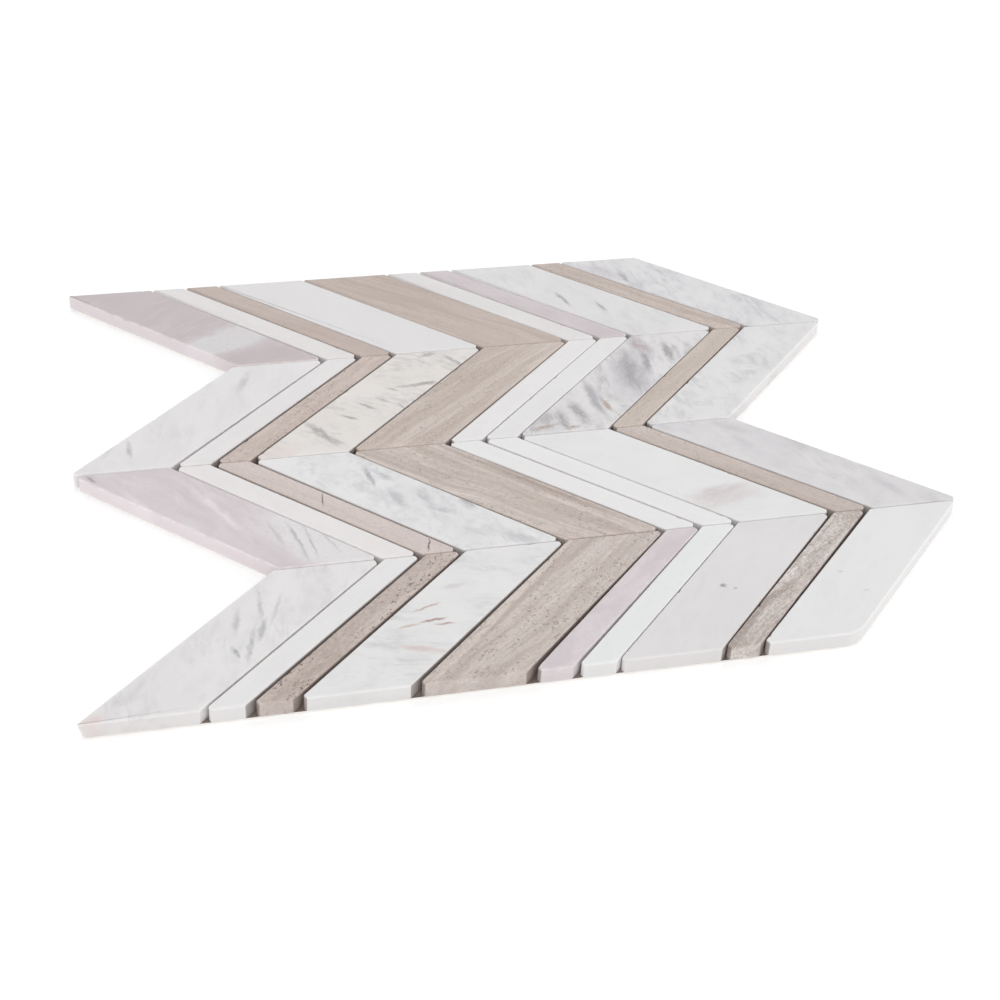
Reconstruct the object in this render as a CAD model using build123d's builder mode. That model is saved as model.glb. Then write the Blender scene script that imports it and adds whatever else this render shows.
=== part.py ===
"""Chevron mosaic sheet: forty sawn marble strips laid point to point on a net backing.

Millimetres. X runs across the ten strips of a row, Y from the front row to the back row, Z up.
The origin is the centre of the sheet in plan, on the underside of the net.
"""
import math
import os

from build123d import *

# The strips, as they are sawn
wide_strip = 29.4
narrow_strip = 10.9
stone_thickness = 6.4
slope = 45.0
row_depth = 76.2
acute_corner_clip = 3.0
arris = 0.35

# How they are laid
strip_joint = 0.6
mitre_joint = 0.4
row_count = 4

# The net that carries them
net_thickness = 1.2
net_inset = 0.3
net_tip_clip = 3.0

# One row from left to right: a letter for the place, the stone, and the width
strips_of_a_row = [
    ("a", "veined", wide_strip),
    ("b", "white", narrow_strip),
    ("c", "woodgrain", narrow_strip),
    ("d", "veined", wide_strip),
    ("e", "woodgrain", wide_strip),
    ("f", "white", narrow_strip),
    ("g", "white", narrow_strip),
    ("h", "veined", wide_strip),
    ("i", "woodgrain", narrow_strip),
    ("j", "veined", wide_strip),
]

# Some strips at the sheet's sides were sawn wider or narrower than the rest
odd_widths = {
    (1, "a"): 28.1,
    (1, "j"): 28.4,
    (2, "a"): 30.2,
    (2, "j"): 28.7,
    (3, "a"): 28.7,
    (3, "j"): 28.7,
    (4, "a"): 30.8,
    (4, "i"): 10.6,
    (4, "j"): 28.4,
}

# The sheet was laid by hand, and each row fans a little. For each row, how far the middle of each strip
# strays to the right, from a to j, at its back end and at its front end
back_strays = {
    1: (2.6, 1.5, 1.4, 1.2, 0.8, 0.6, 0.9, 1.0, 0.8, -0.1),
    2: (-0.4, 0.4, 0.7, 0.7, 0.4, -0.1, -0.7, -1.3, -1.9, -2.5),
    3: (-0.4, -1.0, -0.5, 0.1, -0.4, -0.6, 0.0, 0.0, 0.1, -0.2),
    4: (-1.0, 0.1, 0.6, 1.0, 1.2, 0.8, 0.3, -0.2, -0.1, -0.3),
}
front_strays = {
    1: (0.7, 0.5, 0.6, 0.5, 0.0, -0.4, 0.0, 0.1, 0.2, -0.2),
    2: (-1.4, 0.0, 0.5, 0.4, 0.6, 0.6, 0.5, 0.2, -0.4, -1.2),
    3: (0.0, -0.8, -0.7, -0.2, 0.1, 0.3, 0.9, 1.2, 1.7, 1.6),
    4: (-4.6, -3.3, -2.5, -1.6, -0.4, 1.1, 1.9, 1.5, 0.9, -0.3),
}

# A strip lies at the slope, so what it takes up along X is its width over the slope's sine
slope_sine = math.sin(math.radians(slope))
row_lean = row_depth / math.tan(math.radians(slope))
row_width = sum((width + strip_joint) / slope_sine for _, _, width in strips_of_a_row)
sheet_left = -(row_width + row_lean) / 2
sheet_back = row_count * row_depth / 2


def lean_at(mitre_line):
    """How far a mitre line is pushed to the right: every second one carries the chevrons' points."""
    return row_lean if mitre_line % 2 else 0.0


os.makedirs("parts", exist_ok=True)

# The stones: each row is set out from the back, each strip from the left
left_corners = [[] for _ in range(row_count + 1)]
right_corners = [[] for _ in range(row_count + 1)]
for row in range(row_count):
    back_y = sheet_back - row * row_depth - mitre_joint / 2
    front_y = sheet_back - (row + 1) * row_depth + mitre_joint / 2
    pitch_left = sheet_left
    for place, (letter, stone, width) in enumerate(strips_of_a_row):
        pitch = (width + strip_joint) / slope_sine
        half_width = odd_widths.get((row + 1, letter), width) / slope_sine / 2
        back_middle = pitch_left + pitch / 2 + lean_at(row) + back_strays[row + 1][place]
        front_middle = pitch_left + pitch / 2 + lean_at(row + 1) + front_strays[row + 1][place]
        with BuildPart() as strip:
            with BuildSketch(Plane.XY.offset(net_thickness)) as outline:
                with BuildLine():
                    Polyline(
                        (back_middle - half_width, back_y),
                        (front_middle - half_width, front_y),
                        (front_middle + half_width, front_y),
                        (back_middle + half_width, back_y),
                        close=True,
                    )
                make_face()
                corners = outline.vertices().sort_by(Axis.X)
                # The sheet's back edge is whole: only the first row's front ends are clipped
                clipped = [corners[-1]] if row == 0 else [corners[0], corners[-1]]
                chamfer(clipped, length=acute_corner_clip)
            extrude(amount=stone_thickness)
            chamfer(strip.edges().group_by(Axis.Z)[-1], length=arris)
        node = f"row{row + 1}_{letter}_{stone}"
        strip.part.label = node
        export_step(strip.part, f"parts/{node}.step")
        pitch_left += pitch
        if place == 0:
            left_corners[row].append(back_middle - half_width)
            left_corners[row + 1].append(front_middle - half_width)
        if place == len(strips_of_a_row) - 1:
            right_corners[row].append(back_middle + half_width)
            right_corners[row + 1].append(front_middle + half_width)

# The net: one sheet under all the rows, cut back a little from their saw-tooth outline
left_edge = [(max(ends), sheet_back - line * row_depth) for line, ends in enumerate(left_corners)]
right_edge = [(min(ends), sheet_back - line * row_depth) for line, ends in enumerate(right_corners)]
with BuildPart() as net_backing:
    with BuildSketch() as net_outline:
        with BuildLine():
            Polyline(*left_edge, *reversed(right_edge), close=True)
        make_face()
        offset(amount=-net_inset, kind=Kind.INTERSECTION)
        tips = net_outline.vertices().filter_by(lambda tip: abs(tip.X) > row_width / 2)
        chamfer(tips, length=net_tip_clip)
    extrude(amount=net_thickness)
net_backing.part.label = "net_backing"
export_step(net_backing.part, "parts/net_backing.step")
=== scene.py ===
"""The looks of a chevron mosaic sheet: forty polished marble strips, point to point on a glass-fibre net."""
import math
import random

import bmesh
import bpy
from mathutils import Matrix, Vector, noise


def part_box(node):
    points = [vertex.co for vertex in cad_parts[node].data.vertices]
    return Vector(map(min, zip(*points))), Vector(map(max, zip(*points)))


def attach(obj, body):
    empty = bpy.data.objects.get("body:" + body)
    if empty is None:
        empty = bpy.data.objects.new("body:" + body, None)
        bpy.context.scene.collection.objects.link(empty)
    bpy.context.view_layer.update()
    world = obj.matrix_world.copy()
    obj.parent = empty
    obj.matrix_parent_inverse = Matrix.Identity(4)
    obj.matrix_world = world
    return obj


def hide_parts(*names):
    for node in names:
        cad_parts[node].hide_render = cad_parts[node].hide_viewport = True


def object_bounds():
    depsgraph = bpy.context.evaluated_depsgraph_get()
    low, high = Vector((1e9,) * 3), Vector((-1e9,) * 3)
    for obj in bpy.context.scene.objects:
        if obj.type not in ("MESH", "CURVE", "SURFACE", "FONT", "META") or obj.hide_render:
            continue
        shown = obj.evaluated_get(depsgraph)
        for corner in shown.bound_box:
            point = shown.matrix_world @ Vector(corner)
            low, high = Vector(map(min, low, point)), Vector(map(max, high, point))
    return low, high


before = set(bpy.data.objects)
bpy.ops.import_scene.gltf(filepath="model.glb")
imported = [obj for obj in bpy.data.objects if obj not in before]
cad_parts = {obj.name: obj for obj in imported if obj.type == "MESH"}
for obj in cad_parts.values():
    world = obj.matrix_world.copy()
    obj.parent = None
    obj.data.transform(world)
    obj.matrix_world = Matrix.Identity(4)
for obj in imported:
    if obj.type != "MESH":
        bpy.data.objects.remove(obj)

cad_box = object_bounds()
mm = 0.001

# The camera
# It stands in front of the sheet and a little to its left, and looks down on the polished faces.
# A long lens and a slight roll, as when a camera is held by hand.
camera_place = (-170.2, -623.7, 444.7)
camera_heading = 15.39
camera_dip = 36.08
camera_roll = 3.65
camera_lens = 63.69

lens = bpy.data.cameras.new("camera")
lens.lens = camera_lens
lens.sensor_width = 36.0
camera = bpy.data.objects.new("camera", lens)
camera.matrix_world = (
    Matrix.Translation(Vector(camera_place) * mm)
    @ Matrix.Rotation(math.radians(-camera_heading), 4, "Z")
    @ Matrix.Rotation(math.radians(90 - camera_dip), 4, "X")
    @ Matrix.Rotation(math.radians(camera_roll), 4, "Z")
)
bpy.context.scene.collection.objects.link(camera)
bpy.context.scene.camera = camera
bpy.context.scene.view_settings.view_transform = "Standard"


def rgb(hex_colour):
    """A linear colour from an sRGB hex value."""
    parts = [int(hex_colour[i:i + 2], 16) / 255 for i in (0, 2, 4)]
    linear = [p / 12.92 if p <= 0.04045 else ((p + 0.055) / 1.055) ** 2.4 for p in parts]
    return (*linear, 1.0)


def add_node(tree, kind, sockets, **settings):
    """Adds one node with its settings, and fills its sockets with values or links."""
    node = tree.nodes.new(kind)
    for setting, value in settings.items():
        setattr(node, setting, value)
    for socket, value in sockets.items():
        if isinstance(value, bpy.types.NodeSocket):
            tree.links.new(value, node.inputs[socket])
        else:
            node.inputs[socket].default_value = value
    return node


def new_material(name):
    """An empty material and its node tree."""
    material = bpy.data.materials.new(name)
    material.use_nodes = True
    material.node_tree.nodes.clear()
    return material, material.node_tree


# The floor and the studio light
# A plain white floor under an even white sky, with a large soft lamp in front and another low at the right.
# What the camera sees of sky and floor is plain white, and the floor keeps the sheet's shadow.
floor_half = 4.0
floor_colour = "F2F2F2"
floor_lift = 0.18
under_gap = 2.0
sky_level = 0.915
# Each lamp's power in watts, and its side and place in metres
soft_lamps = {
    "front_lamp": (12.0, 2.4, (-1.4, -1.9, 1.3)),
    "right_lamp": (7.5, 0.7, (2.0, -0.3, 0.36)),
}

floor_mesh = bpy.data.meshes.new("floor")
floor_shape = bmesh.new()
bmesh.ops.create_grid(floor_shape, x_segments=1, y_segments=1, size=floor_half)
floor_shape.to_mesh(floor_mesh)
floor_shape.free()
floor = bpy.data.objects.new("floor", floor_mesh)
bpy.context.scene.collection.objects.link(floor)

# A matt white board, with a glow, floor_lift, that only the camera sees. Seen from below it is clear, and
# light passes it within under_gap mm of what lies on it, so that the net can be looked at.
board, tree = new_material("matt_white_board")
matt = add_node(tree, "ShaderNodeBsdfDiffuse", {"Color": rgb(floor_colour)})
glow = add_node(tree, "ShaderNodeEmission", {"Color": (1, 1, 1, 1), "Strength": floor_lift})
lit = add_node(tree, "ShaderNodeAddShader", {0: matt.outputs[0], 1: glow.outputs[0]})
ray = add_node(tree, "ShaderNodeLightPath", {})
seen = add_node(tree, "ShaderNodeMixShader", {
    0: ray.outputs["Is Camera Ray"], 1: matt.outputs[0], 2: lit.outputs[0],
})
below = add_node(tree, "ShaderNodeNewGeometry", {})
close = add_node(tree, "ShaderNodeMath", {0: ray.outputs["Ray Length"], 1: under_gap * mm},
                 operation="LESS_THAN")
through = add_node(tree, "ShaderNodeMath", {0: below.outputs["Backfacing"], 1: close.outputs[0]},
                   operation="MAXIMUM")
clear = add_node(tree, "ShaderNodeBsdfTransparent", {})
both = add_node(tree, "ShaderNodeMixShader", {0: through.outputs[0], 1: seen.outputs[0], 2: clear.outputs[0]})
add_node(tree, "ShaderNodeOutputMaterial", {"Surface": both.outputs[0]})
floor_mesh.materials.append(board)

sky = bpy.data.worlds.new("studio")
sky.use_nodes = True
sky.node_tree.nodes.clear()
tree = sky.node_tree
ray = add_node(tree, "ShaderNodeLightPath", {})
shiny = add_node(tree, "ShaderNodeMath", {0: ray.outputs["Is Camera Ray"], 1: ray.outputs["Is Glossy Ray"]},
                 operation="MAXIMUM")
shown = add_node(tree, "ShaderNodeMath", {0: shiny.outputs[0], 1: ray.outputs["Is Transmission Ray"]},
                 operation="MAXIMUM")
light = add_node(tree, "ShaderNodeBackground", {"Color": (1, 1, 1, 1), "Strength": sky_level})
white = add_node(tree, "ShaderNodeBackground", {"Color": (1, 1, 1, 1), "Strength": 1.0})
mixed = add_node(tree, "ShaderNodeMixShader", {0: shown.outputs[0], 1: light.outputs[0], 2: white.outputs[0]})
add_node(tree, "ShaderNodeOutputWorld", {"Surface": mixed.outputs[0]})
bpy.context.scene.world = sky

for name, (power, width, place) in soft_lamps.items():
    lamp_data = bpy.data.lights.new(name, "AREA")
    lamp_data.energy = power
    lamp_data.size = width
    lamp = bpy.data.objects.new(name, lamp_data)
    lamp.location = place
    lamp.rotation_euler = (-Vector(place)).to_track_quat("-Z", "Y").to_euler()
    bpy.context.scene.collection.objects.link(lamp)

# The stone strips
# Each is a marble slat sawn to a parallelogram, its two sharp corners broken off, and polished on its face.
# Tumbling rounded the arrises and corners a little, and sawing left them not quite straight, with chips.
# The sizes are in millimetres.
weld_distance = 0.01
flat_angle = 0.5
corner_round = 0.9
crisp_round = 0.7
face_round = 0.65
round_segments = 3
edge_step = 1.5
saw_waver = 0.1
saw_waver_length = 12.0
chip_size = (0.5, 1.2)
chip_depth = 0.4
chips_per_strip = 2
worn_corner = {"row4_j_veined": 5.0, "net_backing": 5.0}
worn_segments = 6
# The face of the front row's first strip kept its sharp tip, and only its underside is clipped.
# Clip is what the CAD takes off along both edges, keep is the part of it left on the face, and zone is how
# far from the tip the face is drawn out.
undercut_strip = "row4_a_veined"
undercut_clip = 3.0
undercut_keep = 0.4
undercut_zone = 3.6


def outline_turns(face):
    """Each vertex of a level face, with the unit direction that leads inwards from it."""
    for loop in face.loops:
        along = loop.link_loop_next.vert.co - loop.link_loop_prev.vert.co
        yield loop.vert, Vector((-along.y, along.x, 0)).normalized()


def sawn_outline(node):
    """A CAD node's underside as one level face that looks up, and the levels of its bottom and top."""
    low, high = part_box(node)
    solid = bmesh.new()
    solid.from_mesh(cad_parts[node].data)
    bmesh.ops.remove_doubles(solid, verts=solid.verts, dist=weld_distance * mm)
    bmesh.ops.dissolve_limit(solid, angle_limit=math.radians(flat_angle), verts=solid.verts,
                             edges=solid.edges)
    underside = min(solid.faces, key=lambda face: face.calc_center_median().z)
    others = [face for face in solid.faces if face is not underside]
    bmesh.ops.delete(solid, geom=others, context="FACES")
    loose = [vertex for vertex in solid.verts if not vertex.link_faces]
    bmesh.ops.delete(solid, geom=loose, context="VERTS")
    bmesh.ops.reverse_faces(solid, faces=solid.faces)
    return solid, low.z, high.z


def wear_corner(shape, node):
    """Rounds off the front right corner of a strip or of the net, where it is worn."""
    if node in worn_corner:
        corner = max(shape.verts, key=lambda vertex: vertex.co.x - 2 * vertex.co.y)
        bmesh.ops.bevel(shape, geom=[corner], offset=worn_corner[node] * mm, offset_type="OFFSET",
                        segments=worn_segments, profile=0.5, affect="VERTICES", material=-1)


def waver_outline(shape, step, waver, waver_length, seed):
    """Divides the outline of a shape's one face, and lets it stray inwards, slowly and with finer ripples."""
    for edge in list(shape.edges):
        cuts = int(edge.calc_length() / (step * mm))
        if cuts:
            bmesh.ops.subdivide_edges(shape, edges=[edge], cuts=cuts)
    shape.faces.ensure_lookup_table()
    for vertex, inwards in list(outline_turns(shape.faces[0])):
        where = vertex.co / (waver_length * mm) + Vector((0, 0, seed))
        stray = 0.5 + 0.5 * noise.noise(where) + 0.35 * noise.noise(where * 4)
        vertex.co += inwards * max(stray, 0.0) * waver * mm


def sawn_strip(node, seed):
    """One strip as a mesh: the sawn outline, worn, given its thickness, its face rounded off and chipped."""
    shape, bottom, top = sawn_outline(node)
    wear_corner(shape, node)
    sheet_back = cad_box[1].y - mm
    for corner in shape.verts[:]:
        one, other = (edge.other_vert(corner).co - corner.co for edge in corner.link_edges)
        radius = crisp_round if corner.co.y > sheet_back else corner_round
        reach = radius / math.tan(one.angle(other) / 2)
        bmesh.ops.bevel(shape, geom=[corner], offset=reach * mm, offset_type="OFFSET",
                        segments=round_segments, profile=0.5, affect="VERTICES", material=-1)
    waver_outline(shape, edge_step, saw_waver, saw_waver_length, seed)
    raised = bmesh.ops.extrude_face_region(shape, geom=shape.faces[:])
    lifted = [item for item in raised["geom"] if isinstance(item, bmesh.types.BMVert)]
    bmesh.ops.translate(shape, verts=lifted, vec=(0, 0, top - bottom))
    if node == undercut_strip:
        low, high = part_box(node)
        tip = Vector((low.x - undercut_clip * math.sqrt(0.5) * mm, low.y, high.z))
        for vertex in lifted:
            if (vertex.co - tip).length < undercut_zone * mm:
                vertex.co = tip + (vertex.co - tip) * undercut_keep
    bmesh.ops.recalc_face_normals(shape, faces=shape.faces)
    face = max(shape.faces, key=lambda each: each.calc_center_median().z)
    rim = [(vertex.co.copy(), inwards) for vertex, inwards in outline_turns(face)]
    bmesh.ops.bevel(shape, geom=face.edges[:], offset=face_round * mm, offset_type="OFFSET",
                    segments=round_segments, profile=0.5, affect="EDGES", material=-1)
    dice = random.Random(node)
    for place, inwards in dice.sample(rim, chips_per_strip):
        size = dice.uniform(*chip_size) * mm
        for vertex in shape.verts:
            near = 1 - (vertex.co - place).length / size
            if near > 0:
                on_face = vertex.co.z > top - weld_distance * mm
                push = inwards if on_face else inwards - Vector((0, 0, 1))
                vertex.co += push * near * chip_depth * mm
    # Only the rounded arris is shaded smooth
    for each in shape.faces:
        each.smooth = 0.02 < each.normal.z < 0.98
    mesh = bpy.data.meshes.new(f"{node}_strip")
    shape.to_mesh(mesh)
    shape.free()
    return mesh


def lay_strip(node, seed, material):
    """Puts a strip in its CAD node's place."""
    strip = bpy.data.objects.new(f"{node}_strip", sawn_strip(node, seed))
    strip.data.materials.append(material)
    bpy.context.scene.collection.objects.link(strip)
    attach(strip, "root")
    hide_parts(node)


# What the stones' finishes share
# Every pattern runs through the stone, so it is drawn in the sheet's own space, its sizes in millimetres.
# The face is honed and polished, the sawn sides are duller, and the arrises are painted a little paler:
# partly bruising, partly painted highlight.
polish_roughness = 0.34
sawn_roughness = 0.6
stone_ior = 1.5
bruise_and_highlight_size = 5.0
crystal_size = 1.1
crystal_bump = 0.02
crystal_strength = 0.25
marble_glow = 0.4
glow_tint = (1.0, 0.92, 0.88)
glow_depth = 1.6
# Painted shade: the sides beside a wood-grain strip are painted brown down in the joints, up to the foot of
# the arris: how much of it there is in each row, and for each place in a row, the sides that have it
joint_shade_colour = "7C6D63"
joint_shade_in_row = {"1": 0.15, "2": 0.5, "3": 0.25, "4": 0.65}
shaded_joint_sides = {
    "b": "right", "c": "both", "d": "both", "e": "both",
    "f": "left", "h": "right", "i": "both", "j": "left",
}


def bent_space(tree, seed, size, reach):
    """The stone's own space, pushed about by up to reach mm, so that a pattern in it bends every size mm."""
    where = add_node(tree, "ShaderNodeTexCoord", {})
    moved = add_node(tree, "ShaderNodeMapping", {
        "Vector": where.outputs["Object"], "Location": (seed * 0.83, seed * 0.29, 0),
    })
    slow = add_node(tree, "ShaderNodeTexNoise", {
        "Vector": moved.outputs[0], "Scale": 1 / (size * mm), "Detail": 1.0,
    })
    push = add_node(tree, "ShaderNodeVectorMath", {0: slow.outputs["Color"], 1: (0.5, 0.5, 0.5)},
                    operation="SUBTRACT")
    pushed = add_node(tree, "ShaderNodeVectorMath", {
        0: push.outputs[0], 1: (4 * reach * mm, 4 * reach * mm, 0), 2: where.outputs["Object"],
    }, operation="MULTIPLY_ADD")
    return pushed.outputs[0]


def drawn_out(tree, size, turn, seed, start, full, amount, detail=4.0, distortion=0.4, space=None):
    """Noise cells of a length and width in mm, turned in plan: 0 under start, and amount over full."""
    where = space or add_node(tree, "ShaderNodeTexCoord", {}).outputs["Object"]
    length, width = size
    cells = add_node(tree, "ShaderNodeMapping", {
        "Vector": where,
        "Location": (seed * 0.37, seed * 0.61, seed * 0.13),
        "Rotation": (0, 0, math.radians(turn)),
        "Scale": (length * mm, width * mm, width * mm),
    }, vector_type="TEXTURE")
    field = add_node(tree, "ShaderNodeTexNoise", {
        "Vector": cells.outputs[0], "Scale": 1.0, "Detail": detail, "Roughness": 0.6,
        "Distortion": distortion,
    })
    share = add_node(tree, "ShaderNodeMapRange", {
        "Value": field.outputs["Fac"], "From Min": start, "From Max": full, "To Min": 0.0, "To Max": amount,
    }, interpolation_type="SMOOTHSTEP")
    return share.outputs[0]


def hairlines(tree, size, turn, seed, thin, amount):
    """Thin lines where a drawn-out noise crosses its middle value."""
    level = drawn_out(tree, size, turn, seed, 0.0, 1.0, 1.0, detail=3.0, distortion=0.8)
    off = add_node(tree, "ShaderNodeMath", {0: level, 1: 0.5}, operation="SUBTRACT")
    apart = add_node(tree, "ShaderNodeMath", {0: off.outputs[0]}, operation="ABSOLUTE")
    line = add_node(tree, "ShaderNodeMapRange", {
        "Value": apart.outputs[0], "From Min": 0.0, "From Max": thin, "To Min": amount, "To Max": 0.0,
    }, interpolation_type="SMOOTHSTEP")
    return line.outputs[0]


def times(tree, one, other):
    """Two shares multiplied: a pattern that shows only in patches."""
    return add_node(tree, "ShaderNodeMath", {0: one, 1: other}, operation="MULTIPLY").outputs[0]


def streak(tree, place, size, turn, seed, amount, ragged=0.5):
    """One streak or stain at a place in mm: an ellipse with ragged, soft edges."""
    where = add_node(tree, "ShaderNodeTexCoord", {})
    rough = add_node(tree, "ShaderNodeTexNoise", {
        "Vector": where.outputs["Object"], "Scale": 1 / (0.45 * size[1] * mm + 2 * mm), "Detail": 3.0,
    })
    shift = add_node(tree, "ShaderNodeVectorMath", {0: rough.outputs["Color"], 1: (0.5, 0.5, 0.5)},
                     operation="SUBTRACT")
    reach = add_node(tree, "ShaderNodeVectorMath",
                     {0: shift.outputs[0], "Scale": ragged * (size[1] + 2) * mm}, operation="SCALE")
    moved = add_node(tree, "ShaderNodeVectorMath", {0: where.outputs["Object"], 1: reach.outputs[0]},
                     operation="ADD")
    unit = add_node(tree, "ShaderNodeMapping", {
        "Vector": moved.outputs[0],
        "Location": (place[0] * mm, place[1] * mm, 0),
        "Rotation": (0, 0, math.radians(turn)),
        "Scale": (size[0] / 2 * mm, size[1] / 2 * mm, 1.0),
    }, vector_type="TEXTURE")
    out = add_node(tree, "ShaderNodeVectorMath", {0: unit.outputs[0]}, operation="LENGTH")
    share = add_node(tree, "ShaderNodeMapRange", {
        "Value": out.outputs["Value"], "From Min": 0.1, "From Max": 1.2, "To Min": amount, "To Max": 0.0,
    }, interpolation_type="SMOOTHSTEP")
    veil = drawn_out(tree, (size[0] / 3 + 2, size[1] / 3 + 0.8), turn, seed, 0.2, 0.58, 1.0)
    return times(tree, share.outputs[0], veil)


def with_joint_shade(tree, colour, place, sideways, level):
    """The colour of the strip at a place such as row2_c, with painted shade in the joints on its sides that
    have it.

    Sideways and level are how far the surface faces right, and up or down.
    """
    row, letter = place[3], place[-1]
    if letter not in shaded_joint_sides:
        return colour
    facing = sideways
    if shaded_joint_sides[letter] == "both":
        facing = add_node(tree, "ShaderNodeMath", {0: sideways}, operation="ABSOLUTE").outputs[0]
    if shaded_joint_sides[letter] == "left":
        facing = times(tree, sideways, -1.0)
    beside = add_node(tree, "ShaderNodeMapRange", {"Value": facing, "From Min": 0.25, "From Max": 0.5})
    foot = add_node(tree, "ShaderNodeMapRange", {
        "Value": level, "From Min": 0.4, "From Max": 0.9, "To Min": joint_shade_in_row[row], "To Max": 0.0,
    })
    # Painted shade: the brown joint colour stands in for the shade down the joints beside a wood-grain strip
    gap_shade = times(tree, beside.outputs[0], foot.outputs[0])
    laid = add_node(tree, "ShaderNodeMix", {"Factor": gap_shade, 6: colour, 7: rgb(joint_shade_colour)}, data_type="RGBA")
    return laid.outputs[2]


def stone_finish(name, place, ground, layers_of, bruise_and_highlight, side):
    """A strip's material: its ground colour, the layers over it, its arris painted paler, partly bruising and
    partly painted highlight, its sawn side, and painted shade in its joints.

    The arris colour, part bruise and part painted highlight, and the side are each a colour and how much of
    it there is.
    """
    material, tree = new_material(f"{name}_{place}")
    colour = rgb(ground)
    for share, over in layers_of(tree):
        laid = add_node(tree, "ShaderNodeMix", {"Factor": share, 6: colour, 7: rgb(over)}, data_type="RGBA")
        colour = laid.outputs[2]
    faces = add_node(tree, "ShaderNodeNewGeometry", {})
    up = add_node(tree, "ShaderNodeSeparateXYZ", {0: faces.outputs["Normal"]})
    level = add_node(tree, "ShaderNodeMath", {0: up.outputs["Z"]}, operation="ABSOLUTE")
    sawn = add_node(tree, "ShaderNodeMapRange", {
        "Value": level.outputs[0], "From Min": 0.0, "From Max": 0.3, "To Min": side[1], "To Max": 0.0,
    })
    cut = add_node(tree, "ShaderNodeMix", {"Factor": sawn.outputs[0], 6: colour, 7: rgb(side[0])},
                   data_type="RGBA")
    # The hump is nothing on the face and on the sides, and at most a quarter, on the rounded arris between.
    # There the arris is painted paler: partly bruising, partly painted highlight.
    tilt = add_node(tree, "ShaderNodeMath", {0: 1.0, 1: level.outputs[0]}, operation="SUBTRACT")
    hump = times(tree, tilt.outputs[0], level.outputs[0])
    bruise_and_highlight_share = times(tree, hump, drawn_out(tree, (bruise_and_highlight_size, bruise_and_highlight_size), 0, 5, 0.25, 0.6, 4 * bruise_and_highlight[1]))
    bruised_and_highlighted = add_node(tree, "ShaderNodeMix", {"Factor": bruise_and_highlight_share, 6: cut.outputs[2], 7: rgb(bruise_and_highlight[0])},
                       data_type="RGBA")
    colour = with_joint_shade(tree, bruised_and_highlighted.outputs[2], place, up.outputs["X"], level.outputs[0])
    rough = add_node(tree, "ShaderNodeMapRange", {
        "Value": level.outputs[0], "From Min": 0.6, "From Max": 1.0,
        "To Min": sawn_roughness, "To Max": polish_roughness,
    })
    where = add_node(tree, "ShaderNodeTexCoord", {})
    crystals = add_node(tree, "ShaderNodeTexNoise", {
        "Vector": where.outputs["Object"], "Scale": 1 / (crystal_size * mm), "Detail": 3.0,
    })
    bump = add_node(tree, "ShaderNodeBump", {
        "Height": crystals.outputs["Fac"], "Strength": crystal_strength, "Distance": crystal_bump * mm,
    })
    shader = add_node(tree, "ShaderNodeBsdfPrincipled", {
        "Base Color": colour, "Roughness": rough.outputs[0], "IOR": stone_ior, "Normal": bump.outputs[0],
        "Subsurface Weight": marble_glow, "Subsurface Radius": glow_tint,
        "Subsurface Scale": glow_depth * mm,
    })
    add_node(tree, "ShaderNodeOutputMaterial", {"Surface": shader.outputs[0]})
    return material


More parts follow.
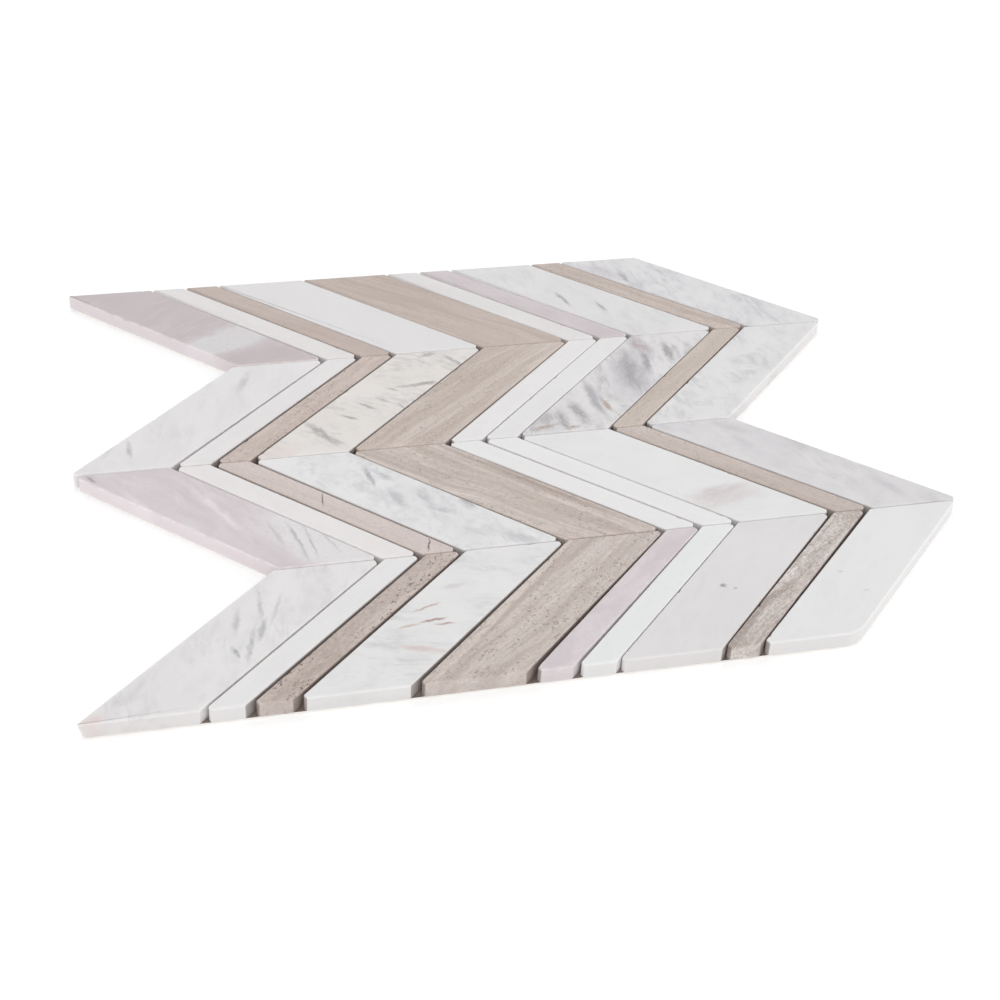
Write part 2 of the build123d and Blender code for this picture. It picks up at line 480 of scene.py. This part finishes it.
# The veined strips
# A white dolomite marble with grey to violet veins, honed and polished. The veins stand steeply, near
# enough front to back, whichever way the strip was sawn, and each strip comes from another place in the slab.
# Each look: ground, cloud, how much cloud, vein, how much vein, its turn, its length and width, and the
# streaks that stand out, as place, size, turn, colour and amount.
veined_looks = {
    "row1_a": ("C3B9BB", "BCB1B4", 0.5, "D2CBCD", 0.4, 32, (20, 3), [
        ((-111, 98), (90, 24), 30, "D5D2D3", 2.4),
    ]),
    "row1_d": ("DFDDDE", "DBD9DA", 0.5, "D2D1D3", 0.15, -80, (20, 4), []),
    "row1_h": ("DEDDDD", "D9D7D8", 0.6, "C4C3C5", 0.5, -75, (14, 4), [
        ((59, 115), (17, 3.4), -72, "9A999B", 1.3),
        ((76, 105), (14, 3.0), -75, "A5A4A6", 1.1),
    ]),
    "row1_j": ("DEDDDE", "D5D4D6", 0.5, "B9B7BD", 0.8, -82, (14, 5), [
        ((84, 140), (28, 12), -35, "C0BBC1", 0.9),
        ((96, 133), (14, 4.5), -80, "A5A2A9", 1.1),
    ]),
    "row2_a": ("E2E0E1", "DCDADB", 0.6, "CBCACC", 0.4, 75, (22, 5), [
        ((-160, 16), (15, 2.8), -86, "B4B3B6", 1.0),
        ((-106, 62), (22, 5), 68, "C4C3C5", 1.1),
    ]),
    "row2_d": ("E1DDDA", "DDD8D4", 0.6, "B7B3B1", 0.6, -32, (7, 2.0), [
        ((-77, 15), (27, 5.0), -60, "ABA8A9", 1.5),
        ((-72, 8), (12, 4.0), -40, "B6B3B3", 1.1),
        ((-63, 26), (10, 2.8), -32, "A9A5A3", 1.4),
        ((-54, 34), (12, 2.4), -44, "AEAAA7", 1.4),
        ((-46, 38), (9, 2.2), -40, "B3AFAC", 1.4),
        ((-38, 31), (10, 2.2), -63, "B7B3B0", 1.3),
        ((-40, 46), (8, 2.0), -30, "B5B1AE", 1.3),
        ((-29, 48), (22, 3.0), 3, "B1ADAB", 1.5),
        ((-23, 49), (9, 3.4), 3, "A5A1A0", 1.3),
        ((-18, 73), (11, 2.8), 17, "B3B0AF", 1.3),
        ((-7, 66), (16, 3.2), -57, "ABA8A7", 1.5),
        ((-97, 4), (26, 12), 15, "E0D3D0", 0.9),
    ]),
    "row2_h": ("DFDDDD", "D2D0D2", 0.9, "AAA7AA", 0.8, -90, (15, 4.5), [
        ((74, 46), (56, 20), -95, "BCB9BD", 1.4),
        ((73, 44), (46, 8), -95, "A5A2A7", 1.2),
        ((83, 52), (26, 5), -94, "A19FA3", 1.3),
        ((96, 59), (24, 5), -94, "A3A1A3", 1.4),
        ((84, 67), (20, 10), -57, "B5A8AC", 1.2),
        ((50, 25), (38, 7), -86, "AFACB0", 1.3),
        ((40, 14), (24, 7), -80, "AAA7AA", 1.3),
        ((31, 9), (16, 6), -80, "A7A4A8", 1.4),
        ((54, 18), (12, 3.4), -83, "B09E92", 1.4),
        ((21, 5), (17, 3.6), 15, "AE9F97", 1.2),
        ((34, 3), (10, 3.0), 14, "AF9F97", 1.1),
    ]),
    "row2_j": ("E0DFDF", "DAD9DA", 0.6, "C0BEC1", 0.75, -84, (12, 4.5), [
        ((106, 62), (20, 5), -85, "C4C2C5", 1.0),
        ((88, 20), (14, 4), -85, "BFBDC0", 1.0),
    ]),
    "row3_a": ("D4CBCE", "CBC1C5", 0.8, "DED9DB", 0.6, -54, (16, 4), [
        ((-90, -62), (76, 30), -45, "DEDCDD", 2.0),
        ((-158, -26), (40, 5), -60, "E0DADC", 1.0),
        ((-128, -34), (44, 6), -62, "E2DDDE", 1.2),
        ((-140, -20), (44, 8), -54, "C9BFC3", 0.9),
        ((-98, -60), (32, 2.2), -78, "ACACAF", 1.1),
        ((-93, -60), (26, 1.8), -81, "B8B8BB", 1.0),
        ((-86, -60), (24, 1.8), -68, "BDBDBF", 0.9),
        ((-106, -54), (24, 3.0), -74, "C3C1C4", 0.9),
        ((-177, -4), (8, 2.2), -58, "A3979B", 1.1),
    ]),
    "row3_d": ("E4E3E3", "DDDCDD", 0.7, "C6C6C9", 0.65, -72, (10, 5), [
        ((-62, -20), (18, 2.8), -83, "ACACB0", 1.3),
        ((-56, -20), (14, 4.5), -54, "BEBFC2", 1.1),
        ((-53, -37), (17, 7.0), -70, "BEBEC2", 1.1),
        ((-42, -37), (17, 7.0), -70, "C0C1C4", 1.1),
        ((-37, -47), (17, 5.5), -32, "BABBBF", 1.1),
        ((-25, -45), (14, 5.0), -66, "B6B7BB", 1.2),
        ((-8, -72), (20, 7), -40, "C0C1C4", 0.9),
    ]),
    "row3_h": ("E3E3E3", "DDDDDD", 0.5, "D5D4D5", 0.25, 13, (20, 4), [
        ((84, -58), (46, 18), 13, "D5CECF", 1.2),
        ((83, -54), (28, 8), 13, "CBC1C2", 0.9),
    ]),
    "row3_j": ("DAD8D9", "D2D0D2", 0.7, "C2C0C3", 0.6, -58, (14, 6), [
        ((104, -8), (24, 9), -35, "C8C6C8", 1.1),
        ((130, -25), (24, 9), -60, "C6C4C6", 1.1),
        ((150, -40), (14, 6), -60, "E6E5E6", 1.1),
        ((158, -62), (22, 7), -60, "C8C6C8", 1.1),
    ]),
    "row4_a": ("E3E1E1", "DCDADA", 0.5, "C5C4C5", 0.5, 78, (16, 4), [
        ((-118, -96), (26, 2.6), -91, "C2C2C4", 1.1),
        ((-124, -120), (24, 3.0), 76, "BBBBBD", 1.2),
        ((-119, -112), (16, 3.0), 72, "B9B9BB", 1.2),
        ((-130, -123), (8, 2.8), -79, "A4A4A7", 1.5),
        ((-128, -106), (18, 3.0), -100, "C3C2C4", 1.1),
        ((-112, -100), (24, 2.2), 70, "CAC9CB", 1.0),
        ((-183, -151), (12, 8), 45, "DDD0CE", 1.2),
    ]),
    "row4_d": ("E3E2E2", "DDDCDC", 0.5, "C6C5C5", 0.6, -12, (12, 3.0), [
        ((-54, -117), (12, 1.8), 6, "AC938C", 1.6),
        ((-55, -109), (14, 1.6), 18, "B8A19A", 1.4),
        ((-50, -120), (9, 1.6), -4, "B39B94", 1.4),
        ((-64, -119), (12, 2.0), 10, "CBB9B3", 1.2),
        ((-61, -133), (22, 4.0), -20, "D3C5C0", 1.4),
        ((-68, -103), (18, 2.8), 12, "BEBBBB", 1.2),
        ((-72, -112), (15, 4), -10, "C9C7C8", 1.1),
        ((-42, -98), (14, 3), 10, "CFCCCC", 1.0),
    ]),
    "row4_h": ("DDDBDB", "D7D5D6", 0.5, "CFCDCE", 0.3, 60, (12, 3), [
        ((64, -116), (3.6, 3), -39, "77777A", 0.95),
        ((68, -118), (2.4, 1.6), 0, "98989A", 0.7),
    ]),
    "row4_j": ("E3E3E3", "DDDDDD", 0.5, "D6D6D7", 0.2, 60, (12, 3), [
        ((114, -115), (3, 1.6), 0, "AFAFB1", 0.8),
        ((120, -128), (4, 1.4), 10, "B8B8BA", 0.7),
    ]),
}
veined_cloud_size = (34, 16)
vein_patch_size = (30, 18)
hairline_patch_size = (22, 12)
broken_size = (3.2, 1.6)
# A bend's size and reach in mm
vein_bend = (28, 3.0)
# The pale arris colours are partly bruising, partly painted highlight
pale_bruise_and_highlight = ("F2F0EF", 0.3)
pale_side = ("E4DFDE", 0.35)
# Sawn, a mauve strip is much paler than on its polished face, and its arris is painted pale too: partly
# bruising, partly painted highlight.
mauve_finish = {
    "row1_a": (("EDE5E3", 0.8), ("EAE1E4", 0.7)),
    "row3_a": (("F2ECEC", 0.7), ("F0E6E9", 0.6)),
}

for seed, (place, look) in enumerate(veined_looks.items(), start=1):
    ground, cloud, cloud_amount, vein, vein_amount, turn, vein_size, streaks = look

    def veined_layers(tree):
        """Clouds, then smudges, veins and hairlines in patches, and the streaks that stand out."""
        bends = bent_space(tree, seed, *vein_bend)
        broken = drawn_out(tree, broken_size, turn, seed + 10, 0.1, 0.52, 1.0)
        yield drawn_out(tree, veined_cloud_size, turn, seed, 0.4, 0.66, cloud_amount, space=bends), cloud
        patches = drawn_out(tree, vein_patch_size, turn, seed + 20, 0.4, 0.62, 1.0)
        smudge = drawn_out(tree, (vein_size[0] * 0.7, vein_size[1] * 1.6), turn, seed + 30, 0.4, 0.68,
                           vein_amount * 0.8, 4.0, space=bends)
        yield times(tree, times(tree, smudge, patches), broken), vein
        veins = drawn_out(tree, vein_size, turn, seed + 40, 0.46, 0.7, vein_amount, 5.0, 0.8, space=bends)
        yield times(tree, times(tree, veins, patches), broken), vein
        thin = hairlines(tree, (vein_size[0] * 1.6, vein_size[1] * 2), turn, seed + 60, 0.03,
                         vein_amount * 0.3)
        thin_patches = drawn_out(tree, hairline_patch_size, turn, seed + 80, 0.5, 0.66, 1.0)
        yield times(tree, thin, thin_patches), vein
        for spot, size, lie, stain, amount in streaks:
            yield times(tree, streak(tree, spot, size, lie, seed, amount), broken), stain
        yield drawn_out(tree, (crystal_size, crystal_size), 0, seed, 0.45, 0.75, 0.4), cloud

    node = f"{place}_veined"
    lay_strip(node, seed, stone_finish(
        "polished_veined_marble", place, ground, veined_layers,
        *mauve_finish.get(place, (pale_bruise_and_highlight, pale_side)),
    ))

# The white strips
# Narrow strips of a pure white, fine-grained marble with next to no veins. Two of them came out of the
# slab where it is tinted mauve. Each look: ground, tint, how much tint.
white_looks = {
    "row1_b": ("E1DEDD", "D9D6D6", 0.5),
    "row1_f": ("E0DDDD", "D8D5D5", 0.5),
    "row1_g": ("CFC7C9", "C5BBBE", 0.8),
    "row2_b": ("E3E0E0", "DCDADB", 0.5),
    "row2_f": ("E5E3E3", "DEDCDD", 0.4),
    "row2_g": ("E3E2E2", "DDDCDC", 0.4),
    "row3_b": ("E5E2E2", "DFDBDA", 0.5),
    "row3_f": ("E6E5E5", "E1E0E0", 0.4),
    "row3_g": ("E6E5E6", "E1E0E1", 0.4),
    "row4_b": ("E4E3E3", "DEDCDD", 0.4),
    "row4_f": ("D7CFD1", "CBC1C5", 0.8),
    "row4_g": ("E4E5E5", "DFE0E0", 0.4),
}
white_cloud_size = (26, 9)
white_mottle_size = (5, 3)

for seed, (place, look) in enumerate(white_looks.items(), start=21):
    ground, tint, tint_amount = look
    along = -45 if place[3] in "13" else 45

    def white_layers(tree):
        """Slow clouds along the strip, faint mottling, and the grain of the crystals."""
        yield drawn_out(tree, white_cloud_size, along, seed, 0.4, 0.65, tint_amount), tint
        yield drawn_out(tree, white_mottle_size, along, seed + 30, 0.45, 0.7, tint_amount * 0.6), tint
        yield drawn_out(tree, (crystal_size, crystal_size), 0, seed, 0.48, 0.68, 0.4), tint

    node = f"{place}_white"
    lay_strip(node, seed, stone_finish(
        "polished_white_marble", place, ground, white_layers, pale_bruise_and_highlight, pale_side,
    ))

# The wood-grain strips
# A banded grey-brown marble, sawn nearly along its beds, so that it looks like planed timber: soft bands,
# fine lines, and here and there small dark pits where the polish tore the softer beds.
# Each look: ground, dark bed, light bed, how strong the bands, the lines and the specks are, the grain's turn
# from the strip, and how many pits.
grain_looks = {
    "row1_c": ("C2B3AC", "B0A098", "CCBFB7", 0.5, 0.5, 0.4, 3, 0.2),
    "row1_e": ("C2B4AC", "AD9D95", "CDC1B9", 0.7, 0.8, 0.4, 4, 0.2),
    "row1_i": ("C9BCB4", "AFA097", "D3C7BF", 0.7, 0.5, 0.8, 1, 0.2),
    "row2_c": ("CCBEB7", "B6A69E", "D6CAC3", 0.6, 0.5, 0.7, -3, 0.5),
    "row2_e": ("CCC0B8", "B2A39A", "D7CCC4", 0.8, 1.0, 0.5, -6, 0.4),
    "row2_i": ("CABEB5", "B5A79D", "D6CBC2", 0.6, 0.7, 0.5, -3, 0.3),
    "row3_c": ("D1C5C1", "C3B6B1", "D9CDC9", 0.5, 0.3, 0.5, 2, 0.2),
    "row3_e": ("D0C5BE", "B2A49C", "DBD1CA", 0.9, 1.0, 0.6, 3, 0.5),
    "row3_i": ("C8BCB5", "B3A59D", "D5CAC3", 0.6, 0.6, 0.7, 1, 0.4),
    "row4_c": ("CDC0BA", "AA9B94", "D3C7C1", 0.6, 0.3, 1.0, -3, 1.2),
    "row4_e": ("CBC0BA", "AFA29B", "D9CFC9", 0.9, 0.9, 0.6, -4, 0.6),
    "row4_i": ("D2C9C4", "A3968F", "E6DFDB", 1.2, 1.0, 1.1, -6, 0.5),
}
grain_bend = (40, 2.4)
band_size = (120, 7.0)
line_size = (44, 1.5)
hair_size = (16, 0.7)
fleck_size = (2.4, 1.1)
speck_size = (1.1, 0.8)
speck_colour = "8F8078"
mottle_size = (8, 5)
speck_patch_size = (18, 8)
pit_size = (1.6, 1.0)
pit_colour = "6F6059"
pit_patch_size = (26, 9)
warm_fleck = "C2AC97"
warm_patch_size = (20, 6)
# Cracks, as place, size and turn
crack_colour = "6B5D56"
cracks = {
    "row3_c": [((-84, -33), (10.5, 0.8), -96), ((-46.5, -70.5), (10.6, 0.9), -105)],
}
# Bands and stains that stand out, as place, size, turn, colour and amount
bold_bands = {
    "row4_c": [((-106, -136), (80, 34), 45, "A89990", 0.6)],
    "row4_e": [((-20, -109), (160, 3.4), 46, "D9CFC7", 1.2), ((-16.5, -109), (160, 3.0), 46, "AFA096", 0.8)],
    "row3_e": [((4.5, -34), (130, 3.4), -45, "A09187", 0.9), ((-2, -34), (130, 3.0), -45, "D8CDC5", 0.8)],
}
# The pale arris colour is partly bruising, partly painted highlight
grain_bruise_and_highlight = ("D6CCC5", 0.3)
grain_side = ("D6CDC9", 0.3)

for seed, (place, look) in enumerate(grain_looks.items(), start=41):
    ground, dark, pale, bands, lines, specks, grain_turn, pits = look
    along = (-45 if place[3] in "13" else 45) + grain_turn

    def grain_layers(tree):
        """Bands, lines and hairs along the beds, mottling, flecks and specks, then pits and any crack."""
        bends = bent_space(tree, seed, *grain_bend)
        yield drawn_out(tree, band_size, along, seed, 0.44, 0.66, bands * 0.8, 2.0, space=bends), pale
        yield drawn_out(tree, band_size, along, seed + 20, 0.44, 0.66, bands * 0.8, 2.0, space=bends), dark
        for spot, size, lie, tint, amount in bold_bands.get(place, []):
            yield streak(tree, spot, size, lie, seed, amount, 0.25), tint
        yield drawn_out(tree, line_size, along, seed + 40, 0.48, 0.7, lines * 0.6, 5.0, space=bends), dark
        yield drawn_out(tree, line_size, along, seed + 60, 0.5, 0.74, lines * 0.4, 5.0, space=bends), pale
        yield drawn_out(tree, hair_size, along, seed + 70, 0.5, 0.7, lines * 0.5, 5.0, space=bends), dark
        yield drawn_out(tree, mottle_size, along, seed + 75, 0.45, 0.68, specks * 0.4, 5.0), dark
        yield drawn_out(tree, fleck_size, along, seed + 80, 0.48, 0.66, specks * 0.55), dark
        yield drawn_out(tree, fleck_size, along, seed + 85, 0.5, 0.68, specks * 0.5), pale
        scattered = drawn_out(tree, speck_patch_size, along, seed + 95, 0.36, 0.6, 1.0)
        grit = drawn_out(tree, speck_size, along, seed + 90, 0.54, 0.66, specks * 0.6, 3.0)
        yield times(tree, grit, scattered), speck_colour
        pitted = drawn_out(tree, pit_patch_size, along, seed + 100, 0.4, 0.58, 1.0)
        yield times(tree, drawn_out(tree, pit_size, along, seed, 0.58, 0.66, pits, 2.0), pitted), pit_colour
        warmth = drawn_out(tree, warm_patch_size, along, seed + 120, 0.5, 0.65, 1.0)
        yield times(tree, drawn_out(tree, fleck_size, along, seed + 9, 0.5, 0.68, 0.5), warmth), warm_fleck
        for spot, size, lie in cracks.get(place, []):
            yield streak(tree, spot, size, lie, seed, 1.4, 0.6), crack_colour

    node = f"{place}_woodgrain"
    lay_strip(node, seed, stone_finish(
        "polished_woodgrain_marble", place, ground, grain_layers, grain_bruise_and_highlight, grain_side,
    ))

# The net
# A glass-fibre mesh of flat white rovings, woven 5 mm apart, that holds the strips from behind.
# It is trimmed with the stones' outline, and a thin film of dried cream-white adhesive bonds it to them.
net_low, net_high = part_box("net_backing")
film_bottom = 0.42
film_waver = 0.35
film_waver_length = 6.0
mesh_pitch = 5.0
roving_width = 0.9
roving_height = 0.3
roving_crossing = 0.12
roving_level = 0.28
mesh_margin = 0.6
fibre_size = (2.0, 0.25)
fibre_tones = ("EDEBE6", "D5D2CA")
film_patch_size = (7.0, 7.0)
film_tones = ("F5F2EC", "E9E4DB")
# Painted shade: the darker tones of the film's upward faces, seen only down the joints
film_shade_tones = ("8C7F77", "6F635C")
film_bump = 0.2


def two_tones(tree, share, tones):
    """A pattern's colour between two tones: the second one where the share is 1."""
    mix = add_node(tree, "ShaderNodeMix", {"Factor": share, 6: rgb(tones[0]), 7: rgb(tones[1])},
                   data_type="RGBA")
    return mix.outputs[2]


film_shape, film_low, film_high = sawn_outline("net_backing")
wear_corner(film_shape, "net_backing")
film_outline = [vertex.co.xy / mm for vertex in film_shape.faces[:][0].verts]
waver_outline(film_shape, edge_step, film_waver, film_waver_length, 3)
bmesh.ops.translate(film_shape, verts=film_shape.verts, vec=(0, 0, film_bottom * mm))
film_top = bmesh.ops.extrude_face_region(film_shape, geom=film_shape.faces[:])
film_lifted = [item for item in film_top["geom"] if isinstance(item, bmesh.types.BMVert)]
bmesh.ops.translate(film_shape, verts=film_lifted, vec=(0, 0, film_high - film_low - film_bottom * mm))
bmesh.ops.recalc_face_normals(film_shape, faces=film_shape.faces)
film_mesh = bpy.data.meshes.new("net_adhesive")
film_shape.to_mesh(film_mesh)
film_shape.free()


def spans(level, axis):
    """Where a straight line across the sheet, at a level of the other axis, lies inside the net's outline."""
    cuts = []
    for one, other in zip(film_outline, film_outline[1:] + film_outline[:1]):
        start, end = one[1 - axis] - level, other[1 - axis] - level
        if start * end < 0:
            cuts.append(one[axis] + (other[axis] - one[axis]) * start / (start - end))
    cuts.sort()
    return zip(cuts[::2], cuts[1::2])


def roving(axis, level, begin, end, phase):
    """One flat roving along X or Y, which rises and falls over those that it crosses."""
    yarn = bmesh.new()
    ring = bmesh.ops.create_circle(yarn, segments=4, radius=1.0, cap_ends=False)["verts"]
    bmesh.ops.scale(yarn, verts=ring, vec=(roving_width / 2 * mm, roving_height / 2 * mm, 1))
    bmesh.ops.rotate(yarn, verts=ring, cent=(0, 0, 0), matrix=Matrix.Rotation(math.pi / 2, 3, "X"))
    steps = max(2, round((end - begin) / (mesh_pitch / 2)))
    bmesh.ops.spin(yarn, geom=yarn.edges[:], cent=(0, 0, 0), axis=(0, 0, 1), angle=0, steps=steps,
                   dvec=(0, (end - begin) / steps * mm, 0), use_merge=False)
    bmesh.ops.translate(yarn, verts=yarn.verts, vec=(level * mm, begin * mm, 0))
    for vertex in yarn.verts:
        wave = math.cos(math.pi * vertex.co.y / (mesh_pitch * mm) + phase)
        vertex.co.z += (roving_level + roving_crossing * wave) * mm
    if axis == 0:
        bmesh.ops.transform(yarn, verts=yarn.verts, matrix=Matrix(((0, 1, 0), (1, 0, 0), (0, 0, 1))))
    bmesh.ops.holes_fill(yarn, edges=yarn.edges, sides=4)
    bmesh.ops.recalc_face_normals(yarn, faces=yarn.faces)
    return yarn


net_mesh = bpy.data.meshes.new("glass_fibre_net")
net_shape = bmesh.new()
for axis in (0, 1):
    reach = (net_high[1 - axis] - net_low[1 - axis]) / mm / 2 - mesh_margin
    count = int(reach / mesh_pitch)
    for number in range(-count, count + 1):
        phase = math.pi * (number + axis)
        for begin, end in spans(number * mesh_pitch, axis):
            if end - begin > 2 * mesh_pitch:
                yarn = roving(axis, number * mesh_pitch, begin + mesh_margin, end - mesh_margin, phase)
                yarn.to_mesh(net_mesh)
                yarn.free()
                net_shape.from_mesh(net_mesh)
net_shape.to_mesh(net_mesh)
net_shape.free()

# Glass-fibre rovings sized white: a dull sheen along the yarn.
net_material, tree = new_material("white_glass_fibre")
fibre = two_tones(tree, drawn_out(tree, fibre_size, 0, 1, 0.4, 0.7, 0.5), fibre_tones)
shader = add_node(tree, "ShaderNodeBsdfPrincipled", {"Base Color": fibre, "Roughness": 0.5})
add_node(tree, "ShaderNodeOutputMaterial", {"Surface": shader.outputs[0]})
net_mesh.materials.append(net_material)

# Dried acrylic adhesive: cream-white, uneven and a little glossy. Its upward faces, seen only down the open
# joints, are painted grey-brown: painted shade.
film_material, tree = new_material("dried_acrylic_adhesive")
uneven = drawn_out(tree, film_patch_size, 0, 2, 0.35, 0.7, 0.8)
cream = two_tones(tree, uneven, film_tones)
gap_shade = two_tones(tree, uneven, film_shade_tones)
faces = add_node(tree, "ShaderNodeNewGeometry", {})
up = add_node(tree, "ShaderNodeSeparateXYZ", {0: faces.outputs["Normal"]})
upward = add_node(tree, "ShaderNodeMapRange", {"Value": up.outputs["Z"], "From Min": 0.3, "From Max": 0.6})
tone = add_node(tree, "ShaderNodeMix", {"Factor": upward.outputs[0], 6: cream, 7: gap_shade}, data_type="RGBA")
bump = add_node(tree, "ShaderNodeBump", {"Height": uneven, "Strength": 0.5, "Distance": film_bump * mm})
shader = add_node(tree, "ShaderNodeBsdfPrincipled", {
    "Base Color": tone.outputs[2], "Roughness": 0.4, "Normal": bump.outputs[0],
})
add_node(tree, "ShaderNodeOutputMaterial", {"Surface": shader.outputs[0]})
film_mesh.materials.append(film_material)

for name, mesh in (("net_adhesive", film_mesh), ("glass_fibre_net", net_mesh)):
    piece = bpy.data.objects.new(name, mesh)
    bpy.context.scene.collection.objects.link(piece)
    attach(piece, "root")
    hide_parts("net_backing")
